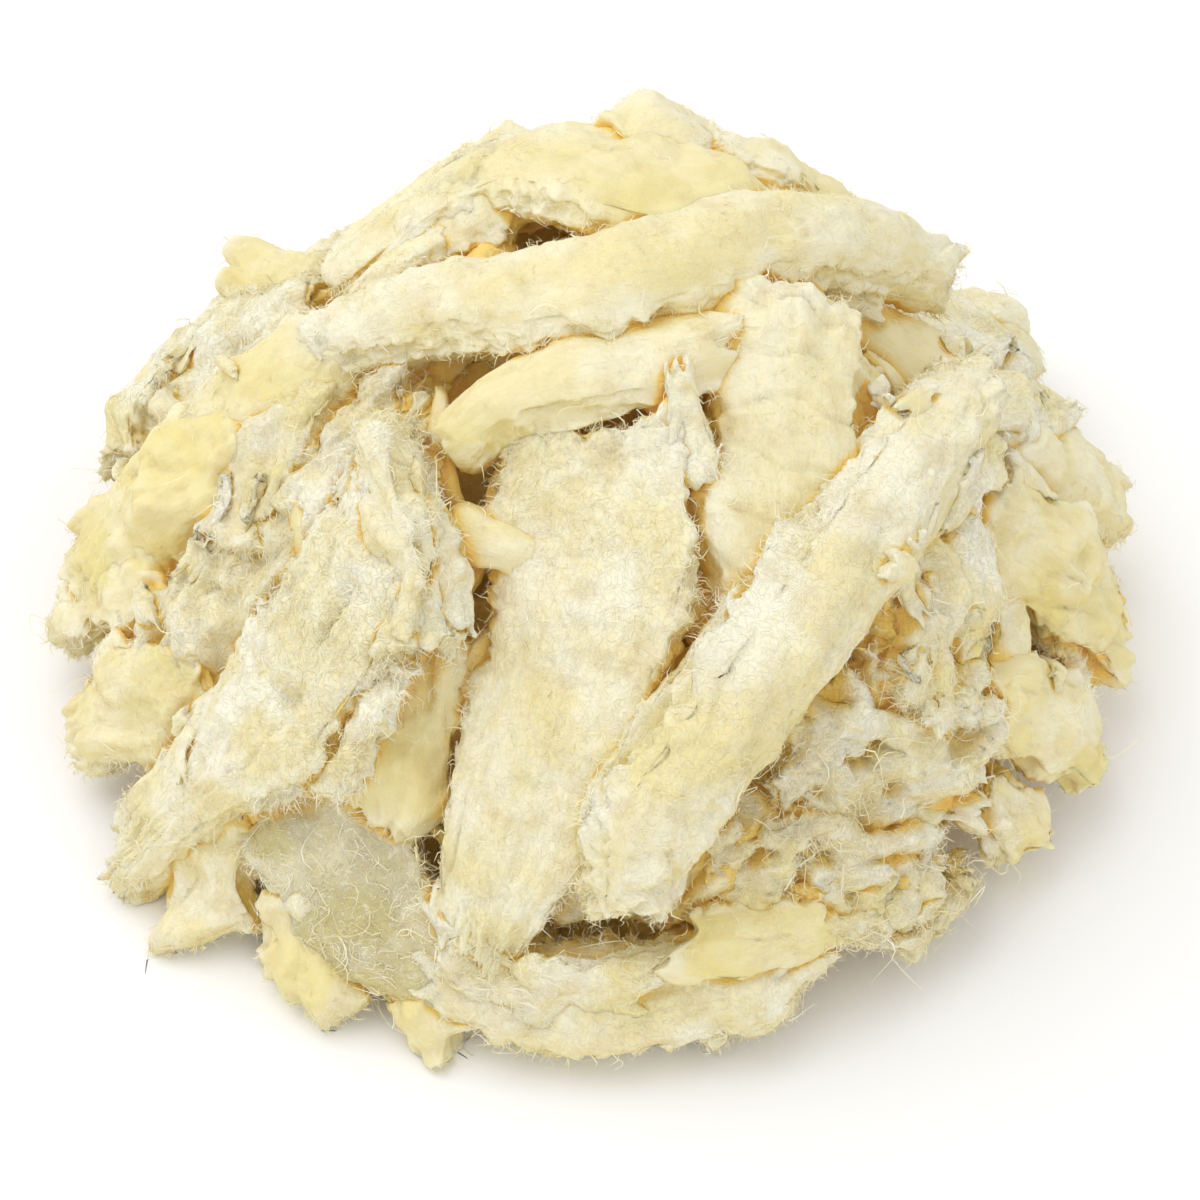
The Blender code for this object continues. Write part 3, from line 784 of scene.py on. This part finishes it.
core_tearing = packed_core.modifiers.new("tearing", "NODES")
core_tearing.node_group = torn_flesh
set_group_values(core_tearing, {
    "Seed": 900.0, "Lump": 10 * MM, "Crack": 3 * MM, "Bundle": 4 * MM, "Grain": 1.5 * MM, "Pit": 3 * MM,
    "Half Length": 1.0, "Half Width": 1.0,
})
apply_all(packed_core)
core_points = points_of(packed_core)
core_points[:, 2] = np.maximum(core_points[:, 2], GROUND_GAP)
packed_core.data.vertices.foreach_set("co", core_points.ravel())
keep_vector(packed_core, "grain_place", core_points)
for name, value in {"yellow": 0.95, "fluff": 0.2, "grey": 0.0, "rim": 0.0}.items():
    keep_number(packed_core, name, np.full(len(core_points), value))
packed_core.data.shade_smooth()
print("packed_core", len(packed_core.data.polygons), "faces")

# %% [markdown]
# ## How buried each point is
#
# Between the strips the flesh is painted golden and then brown: painted shade in the gaps. A geometry group
# measures how buried each point is. From each point it sends rays over the sky and counts those that soon
# meet another strip. The share is kept with the point, where the materials can read it.

# %% Geometry group: how buried
RAYS = 16
RAY_LENGTH = 14 * MM
OFF_SKIN = 0.7 * MM  # rays start this far off the flesh, so that its own relief doesn't stop them
CORE_BURIED = 0.5  # the core lies under the strips everywhere, so it always gets painted shade
FLAKE_BURIED = 0.2  # the flakes lie on top, so they get little painted shade


def make_how_buried(target):
    """Group that stores, for each point, the share of the sky near it that other flesh hides."""
    tree, into, out = open_tree(
        "how_buried", "GeometryNodeTree", [("Geometry", GEOMETRY)], [("Geometry", GEOMETRY)]
    )
    place = add_node(tree, "GeometryNodeInputPosition").outputs[0]
    normal = add_node(tree, "GeometryNodeInputNormal").outputs[0]
    heap = add_node(tree, "GeometryNodeObjectInfo", {"Object": target}).outputs["Geometry"]
    start = vector_sum(tree, place, scaled(tree, normal, OFF_SKIN))
    hidden, seen = 0.0, 0.0
    for i in range(RAYS):
        rise = 1 - (i + 0.5) / RAYS * 1.15
        turn = i * math.pi * (3 - math.sqrt(5))
        level = math.sqrt(max(0, 1 - rise * rise))
        sky = (level * math.cos(turn), level * math.sin(turn), rise)
        facing = add_node(tree, "ShaderNodeVectorMath", {0: normal, 1: sky}, operation="DOT_PRODUCT")
        weight = ramp(tree, facing.outputs["Value"], 0.0, 0.4)
        inputs = {"Target Geometry": heap, "Source Position": start, "Ray Direction": sky}
        inputs["Ray Length"] = RAY_LENGTH
        ray = add_node(tree, "GeometryNodeRaycast", inputs)
        near = calc(tree, "SUBTRACT", 1.0, calc(tree, "DIVIDE", ray.outputs["Hit Distance"], RAY_LENGTH))
        struck = times(tree, ray.outputs["Is Hit"], times(tree, near, weight))
        hidden = plus(tree, hidden, struck)
        seen = plus(tree, seen, weight)
    share = calc(tree, "DIVIDE", hidden, calc(tree, "MAXIMUM", seen, 0.2))
    smooth = add_node(tree, "GeometryNodeBlurAttribute", {"Value": share, "Iterations": 3}).outputs[0]
    stored = add_node(
        tree, "GeometryNodeStoreNamedAttribute",
        {"Geometry": into.outputs["Geometry"], "Name": "buried", "Value": smooth},
    )
    tree.links.new(stored.outputs[0], out.inputs[0])
    return tree


flesh_pieces = [
    summit_strips, left_strips, front_strips, foot_strips, right_strips, sponge_flakes, back_strips,
    small_shreds, loose_flakes, packed_core,
]
deselect_all()
for piece in flesh_pieces:
    piece.select_set(True)
bpy.context.view_layer.objects.active = packed_core
bpy.ops.object.duplicate()
bpy.ops.object.join()
whole_flesh = bpy.context.object
whole_flesh.name = "whole_flesh"
how_buried = make_how_buried(whole_flesh)
for piece in flesh_pieces:
    measure = piece.modifiers.new("measure", "NODES")
    measure.node_group = how_buried
    apply_all(piece)
    shares = np.empty(len(piece.data.vertices))
    piece.data.attributes["buried"].data.foreach_get("value", shares)
    if piece in (packed_core, loose_flakes):
        shares = np.maximum(shares, CORE_BURIED) if piece == packed_core else np.minimum(shares, FLAKE_BURIED)
        piece.data.attributes["buried"].data.foreach_set("value", shares)
    print(piece.name, "buried", np.round(np.percentile(shares, [5, 50, 95]), 2))
bpy.data.objects.remove(whole_flesh)

# %% [markdown]
# ## Fibres
#
# A fibre of dried cod is a fifth of a millimetre thick and a few millimetres long. Six short fibres and four
# long strands are modelled, each a three-sided spike that is bent its own way. Geometry groups then set
# thousands of them on the strips: fluff and strands lie flat in every direction, and a fringe stands out of
# the torn edges. Each is realized, so the fibres are real mesh.

# %% Fibres and strands
FIBRE_PARTS = 3
FIBRE_BENDS = {  # sideways curve, rise, curl back at the tip; in shares of the fibre's length
    "low_arch": (0.18, 0.16, 0.2),
    "side_curve": (0.45, 0.08, 0.3),
    "s_curve": (-0.38, 0.12, 0.5),
    "hook": (0.30, 0.22, 0.8),
    "riser": (-0.15, 0.38, 0.3),
    "wiggle": (0.30, 0.05, 0.6),
}
STRAND_PARTS = 8
STRAND_BENDS = {
    "long_bow": (0.22, 0.10, 0.3),
    "long_s": (0.16, 0.08, 0.9),
    "long_wave": (-0.10, 0.12, 1.3),
    "long_hook": (0.30, 0.14, 0.6),
}


def model_fibre(name, shelf, parts, radius, sideways, rise, curl):
    """A three-sided spike one unit long, bent its own way, from the origin along X."""
    deselect_all()
    bpy.ops.mesh.primitive_cone_add(vertices=3, radius1=radius, depth=1, rotation=(0, math.pi / 2, 0))
    fibre = bpy.context.object
    fibre.name = name
    bpy.ops.object.transform_apply(location=False, rotation=True, scale=False)
    bpy.ops.object.mode_set(mode="EDIT")
    bpy.ops.mesh.select_mode(type="EDGE")
    bpy.ops.mesh.select_all(action="DESELECT")
    bpy.ops.object.mode_set(mode="OBJECT")
    for edge in fibre.data.edges:
        ends = [fibre.data.vertices[i].co.x for i in edge.vertices]
        edge.select = abs(ends[0] - ends[1]) > 0.5
    bpy.ops.object.mode_set(mode="EDIT")
    bpy.ops.mesh.subdivide(number_cuts=parts - 1)
    bpy.ops.mesh.select_mode(type="VERT")
    bpy.ops.object.mode_set(mode="OBJECT")
    for vert in fibre.data.vertices:
        t = vert.co.x + 0.5
        fuller = 1.0 + 0.8 * t
        bend = math.sin(t * math.pi * (1 + 2 * curl)) * sideways
        lift = math.sin(t * math.pi * 0.55) * rise - 0.03
        vert.co = (t - curl * 0.5 * t**3, vert.co.y * fuller + bend, vert.co.z * fuller + lift)
    for collection in list(fibre.users_collection):
        collection.objects.unlink(fibre)
    shelf.objects.link(fibre)
    return fibre


def fill_shelf(name, parts, radius, bends):
    """A collection of fibres that differ in their bends only."""
    shelf = bpy.data.collections.new(name)
    bpy.context.scene.collection.children.link(shelf)
    fibres = [model_fibre(label, shelf, parts, radius, *bend) for label, bend in bends.items()]
    print(name, "faces", [len(fibre.data.polygons) for fibre in fibres])
    return shelf


fibre_shelf = fill_shelf("fibre_shelf", FIBRE_PARTS, 0.036, FIBRE_BENDS)
strand_shelf = fill_shelf("strand_shelf", STRAND_PARTS, 0.013, STRAND_BENDS)

# %% Geometry group: scattered fibres
LONG_FIBRE = 8 * MM  # longer fibres keep to the grey, spongy flesh


def make_fibre_scatter(name, source, shelf, density, shortest, longest, fringe, seed):
    """Group that covers the source's flesh with fibres.

    A fringe keeps to torn edges and points outwards; otherwise the fibres lie flat in every direction.
    """
    tree, into, out = open_tree(name, "GeometryNodeTree", [("Geometry", GEOMETRY)], [("Geometry", GEOMETRY)])
    flesh = add_node(tree, "GeometryNodeObjectInfo", {"Object": source}).outputs["Geometry"]

    def attribute(label, kind="FLOAT"):
        return add_node(tree, "GeometryNodeInputNamedAttribute", {"Name": label}, data_type=kind).outputs[0]

    def chance(low, high, offset):
        made = add_node(tree, "FunctionNodeRandomValue", data_type="FLOAT")
        made.inputs[2].default_value = low
        made.inputs[3].default_value = high
        made.inputs[8].default_value = seed + offset
        return made.outputs[1]

    rim = attribute("rim")
    fluff = attribute("fluff")
    patch_place = add_node(tree, "GeometryNodeInputPosition").outputs[0]
    patches = add_node(
        tree, "ShaderNodeTexNoise", {"Vector": patch_place, "Scale": 110.0, "Detail": 2.0}
    ).outputs[0]
    if fringe:
        share = times(tree, ramp(tree, rim, 0.35, 0.95), plus(tree, fluff, 0.35))
    else:
        share = plus(tree, times(tree, rim, 0.25), fluff)
        if longest > LONG_FIBRE:
            share = plus(tree, times(tree, attribute("grey"), 3.0), 0.3)
    share = times(tree, share, ramp(tree, patches, 0.40, 0.62, 0.08, 1.0))
    open_sky = ramp(tree, attribute("buried"), 0.25, 0.75, 1.0, 0.12)
    share = times(tree, share, open_sky)
    points = add_node(
        tree, "GeometryNodeDistributePointsOnFaces",
        {"Mesh": flesh, "Density": times(tree, share, density), "Seed": seed},
        distribute_method="RANDOM",
    )
    around = add_node(tree, "FunctionNodeRandomValue", data_type="FLOAT_VECTOR")
    around.inputs[0].default_value = (-1, -1, -1)
    around.inputs[1].default_value = (1, 1, 0.6 if fringe else 1)
    around.inputs[8].default_value = seed + 5
    way = around.outputs[0]
    if fringe:
        ways = attribute("frays_towards", "FLOAT_VECTOR")
        way = vector_sum(tree, ways, way)
    turned = add_node(
        tree, "FunctionNodeAlignRotationToVector", {"Rotation": points.outputs["Rotation"], "Vector": way},
        axis="X", pivot_axis="AUTO" if fringe else "Z",
    ).outputs[0]
    size = chance(shortest, longest, 9)
    size = times(tree, size, chance(0.45, 1.0, 13))
    kinds = add_node(tree, "GeometryNodeCollectionInfo", {
        "Collection": shelf, "Separate Children": True, "Reset Children": True,
    }).outputs[0]
    placed = add_node(tree, "GeometryNodeInstanceOnPoints", {
        "Points": points.outputs["Points"], "Instance": kinds, "Pick Instance": True,
        "Rotation": turned, "Scale": size,
    }).outputs[0]
    real = add_node(tree, "GeometryNodeRealizeInstances", {"Geometry": placed}).outputs[0]
    place = add_node(tree, "GeometryNodeInputPosition").outputs[0]
    axes = add_node(tree, "ShaderNodeSeparateXYZ", {0: place}).outputs
    height = calc(tree, "MAXIMUM", axes[2], GROUND_GAP)
    clear = add_node(tree, "ShaderNodeCombineXYZ", {0: axes[0], 1: axes[1], 2: height}).outputs[0]
    settled = add_node(tree, "GeometryNodeSetPosition", {"Geometry": real, "Position": clear}).outputs[0]
    tree.links.new(settled, out.inputs[0])
    return tree


def scatter_fibres(name, source, shelf, density, shortest, longest, fringe, seed):
    """Makes a piece of real fibres over one piece of flesh; density is fibres for each square metre."""
    deselect_all()
    bpy.ops.mesh.primitive_plane_add(size=MM)
    piece = bpy.context.object
    piece.name = name
    scatter = piece.modifiers.new("scatter", "NODES")
    scatter.node_group = make_fibre_scatter(name, source, shelf, density, shortest, longest, fringe, seed)
    apply_all(piece)
    triangles = sum(len(face.vertices) - 2 for face in piece.data.polygons)
    print(name, triangles, "triangles")
    return piece


# %% Fluff and fringes
FIBRE_ROUNDS = {  # source, then fluff, fringe and strands, in thousands for each square metre
    "summit": (summit_strips, 1600, 3000, 20),
    "left": (left_strips, 1700, 2600, 60),
    "front": (front_strips, 1800, 3000, 60),
    "foot": (foot_strips, 1500, 2400, 150),
    "right": (right_strips, 1350, 2200, 50),
    "sponge": (sponge_flakes, 1800, 2200, 150),
    "back": (back_strips, 430, 700, 25),
    "shred": (small_shreds, 400, 500, 20),
}
fibre_pieces = []
for i, (place, (source, fluff_density, fringe_density, strand_density)) in enumerate(FIBRE_ROUNDS.items()):
    kinds = [
        ("fluff", fibre_shelf, fluff_density, 1.2 * MM, 3.4 * MM, False, 20),
        ("fringe", fibre_shelf, fringe_density, 1.0 * MM, 3.6 * MM, True, 60),
        ("strands", strand_shelf, strand_density, 5 * MM, 12 * MM, False, 90),
    ]
    for kind, shelf, density, shortest, longest, fringe, seed in kinds:
        label = f"{place}_{kind}"
        made = scatter_fibres(label, source, shelf, density * 1000, shortest, longest, fringe, seed + i)
        fibre_pieces.append(made)

# %% [markdown]
# ## Colour shared by all the flesh
#
# One shader group paints dried cod, and each material gives it its own values. It starts between a white
# and a waxy yellow, breaks that up in soft patches, greys it in places as painted shade, draws pale curly
# fibres over it, and turns it golden and then brown where the point is buried, which is painted shade in the
# gaps; faces that turn down get a darker yellow, also painted shade. The curly lines are a plain trick: the
# level lines of a soft noise, thinned, look like a tangle of fibres. In the deepest gaps the group also gives
# a painted golden glow of its own. The bleached fibres have fixed values in place of most of it.

# %% Shader group: dried flesh


def make_dried_flesh():
    """Group with the colour, roughness and relief of dried cod."""
    tree, into, out = open_tree(
        "dried_flesh", "ShaderNodeTree",
        [("Place", DIRECTION), ("Grain Place", DIRECTION), ("Yellow", NUMBER), ("Fluff", NUMBER),
         ("Grey", NUMBER), ("Buried", NUMBER), ("Rim", NUMBER), ("Faces Up", NUMBER)],
        [("Color", COLOUR), ("Roughness", NUMBER), ("Height", NUMBER), ("Painted Glow", COLOUR)],
    )
    given = into.outputs

    def noise(vector, scale, detail=3.0, distortion=0.0):
        inputs = {"Vector": vector, "Scale": scale, "Detail": detail, "Distortion": distortion}
        return add_node(tree, "ShaderNodeTexNoise", inputs).outputs[0]

    def tangle(scale, width, distortion):
        level = calc(tree, "SUBTRACT", noise(given["Place"], scale, 1.5, distortion), 0.5)
        return ramp(tree, calc(tree, "ABSOLUTE", level), 0.0, width, 1.0, 0.0)

    def blend(factor, first, second):
        made = add_node(tree, "ShaderNodeMix", data_type="RGBA")
        for index, value in ((0, factor), (6, first), (7, second)):
            if isinstance(value, bpy.types.NodeSocket):
                tree.links.new(value, made.inputs[index])
            else:
                made.inputs[index].default_value = value
        return made.outputs[2]

    white = (0.94, 0.91, 0.75, 1)
    cream = (0.87, 0.81, 0.54, 1)
    yellow = (0.83, 0.72, 0.31, 1)
    tan = (0.72, 0.58, 0.27, 1)
    golden = (0.90, 0.66, 0.19, 1)
    brown = (0.80, 0.47, 0.12, 1)
    shaded_side = (0.83, 0.69, 0.28, 1)
    grey = (0.66, 0.62, 0.50, 1)
    green = (0.56, 0.50, 0.22, 1)

    patches = ramp(tree, noise(given["Place"], 95.0), 0.38, 0.62)
    broad = ramp(tree, noise(given["Place"], 38.0, 2.0), 0.35, 0.65)
    waxy = times(tree, given["Yellow"], plus(tree, times(tree, broad, 0.7), 0.5), True)
    colour = blend(waxy, cream, yellow)
    salt = times(tree, patches, plus(tree, given["Fluff"], 0.25), True)
    colour = blend(salt, colour, white)
    stained = ramp(tree, noise(given["Place"], 170.0, 4.0), 0.50, 0.72, 0.0, 0.45)
    colour = blend(stained, colour, tan)
    # painted shade: greyer in patches where the look has grey, as on the shaded and spongy looks
    grey_shade = times(tree, given["Grey"], ramp(tree, noise(given["Place"], 140.0), 0.42, 0.60))
    colour = blend(grey_shade, colour, grey)
    skin = times(tree, ramp(tree, given["Grey"], 0.6, 0.9), ramp(tree, patches, 0.0, 1.0, 0.85, 0.45))
    colour = blend(skin, colour, green)

    fine_grain = noise(stretched(tree, given["Grain Place"], (0.08, 1, 1)), 1600.0, 3.0)
    colour = blend(ramp(tree, fine_grain, 0.35, 0.70, 0.10, 0.0), colour, golden)
    lines = calc(tree, "MAXIMUM", tangle(420.0, 0.022, 1.5), tangle(760.0, 0.035, 1.0))
    lines_shown = times(tree, lines, plus(tree, times(tree, given["Fluff"], 0.7), 0.12))
    colour = blend(times(tree, lines_shown, 0.7, True), colour, white)
    pale_rim = times(tree, ramp(tree, given["Rim"], 0.35, 1.0), 0.45)
    colour = blend(pale_rim, colour, white)

    # painted shade: faces that turn down are mixed towards a darker yellow
    colour = blend(ramp(tree, given["Faces Up"], -0.3, 0.5, 0.6, 0.0), colour, shaded_side)
    # painted shade: golden and then brown where the point is buried between strips
    deep = plus(tree, given["Buried"], times(tree, calc(tree, "SUBTRACT", patches, 0.5), 0.10))
    colour = blend(ramp(tree, deep, 0.22, 0.55), colour, golden)
    colour = blend(ramp(tree, deep, 0.55, 0.85, 0.0, 0.8), colour, brown)

    # painted glow: the deepest gaps give off a golden light of their own
    painted_glow = blend(ramp(tree, deep, 0.45, 0.95), (0, 0, 0, 1), (0.66, 0.46, 0.13, 1))

    rough = plus(tree, times(tree, patches, 0.15), 0.62)
    height = plus(tree, times(tree, fine_grain, 0.5), times(tree, lines_shown, 0.35))
    height = plus(tree, height, times(tree, noise(given["Place"], 900.0, 4.0), 0.6))
    tree.links.new(colour, out.inputs["Color"])
    tree.links.new(rough, out.inputs["Roughness"])
    tree.links.new(height, out.inputs["Height"])
    tree.links.new(painted_glow, out.inputs["Painted Glow"])
    return tree


dried_flesh = make_dried_flesh()

# %% Materials
GAP_GLOW = 0.13  # strength of the painted golden glow in the deepest gaps


def flesh_material(name, relief, glow, fixed):
    """A material for flesh: the shared colour group, a bump and light that soaks in.

    What is not fixed comes from the attributes that the mesh keeps.
    """
    material = bpy.data.materials.new(name)
    material.use_nodes = True
    tree = material.node_tree
    shader = tree.nodes["Principled BSDF"]

    def read(label, output="Fac"):
        return add_node(tree, "ShaderNodeAttribute", attribute_name=label).outputs[output]

    place = add_node(tree, "ShaderNodeTexCoord").outputs["Object"]
    look = add_node(tree, "ShaderNodeGroup", node_tree=dried_flesh)
    tree.links.new(place, look.inputs["Place"])
    tree.links.new(read("grain_place", "Vector"), look.inputs["Grain Place"])
    for label in ("Yellow", "Fluff", "Grey", "Buried", "Rim"):
        if label not in fixed:
            tree.links.new(read(label.lower()), look.inputs[label])
    for label, value in fixed.items():
        look.inputs[label].default_value = value
    if "Faces Up" not in fixed:
        # painted shade: which way the face turns, for darker yellow on faces that turn down
        normal = add_node(tree, "ShaderNodeNewGeometry").outputs["Normal"]
        upwards = add_node(tree, "ShaderNodeSeparateXYZ", {0: normal}).outputs[2]
        tree.links.new(upwards, look.inputs["Faces Up"])
    bump = add_node(tree, "ShaderNodeBump", {
        "Height": look.outputs["Height"], "Distance": relief, "Strength": 1.0,
    })
    tree.links.new(look.outputs["Color"], shader.inputs["Base Color"])
    tree.links.new(look.outputs["Roughness"], shader.inputs["Roughness"])
    tree.links.new(bump.outputs[0], shader.inputs["Normal"])
    tree.links.new(look.outputs["Painted Glow"], shader.inputs["Emission Color"])
    shader.inputs["Emission Strength"].default_value = GAP_GLOW
    shader.inputs["Subsurface Weight"].default_value = glow
    shader.inputs["Subsurface Radius"].default_value = (1.0, 0.85, 0.6)
    shader.inputs["Subsurface Scale"].default_value = 1.2 * MM
    shader.inputs["Specular IOR Level"].default_value = 0.35
    return material


BLEACHED = {"Yellow": 0.25, "Fluff": 0.8, "Grey": 0.0, "Rim": 0.5, "Buried": 0.0, "Faces Up": 1.0}
flesh = flesh_material("torn_flesh", relief=0.30 * MM, glow=0.3, fixed={})
fibre_finish = flesh_material("loose_fibres", relief=0.05 * MM, glow=0.0, fixed=BLEACHED)

# %% Dressing the pieces
for piece in flesh_pieces:
    piece.data.materials.clear()
    piece.data.materials.append(flesh)
for piece in fibre_pieces:
    piece.data.materials.clear()
    piece.data.materials.append(fibre_finish)
for shelf in (fibre_shelf, strand_shelf):
    for fibre in list(shelf.objects):
        bpy.data.objects.remove(fibre)
    bpy.data.collections.remove(shelf)

# %% [markdown]
# ## Hand over
#
# Every piece rides on the heap's only body, and together they stand for the imported solid.

# %% Hand over
for piece in flesh_pieces + fibre_pieces:
    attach(piece, "root")
    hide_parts("cod_heap")
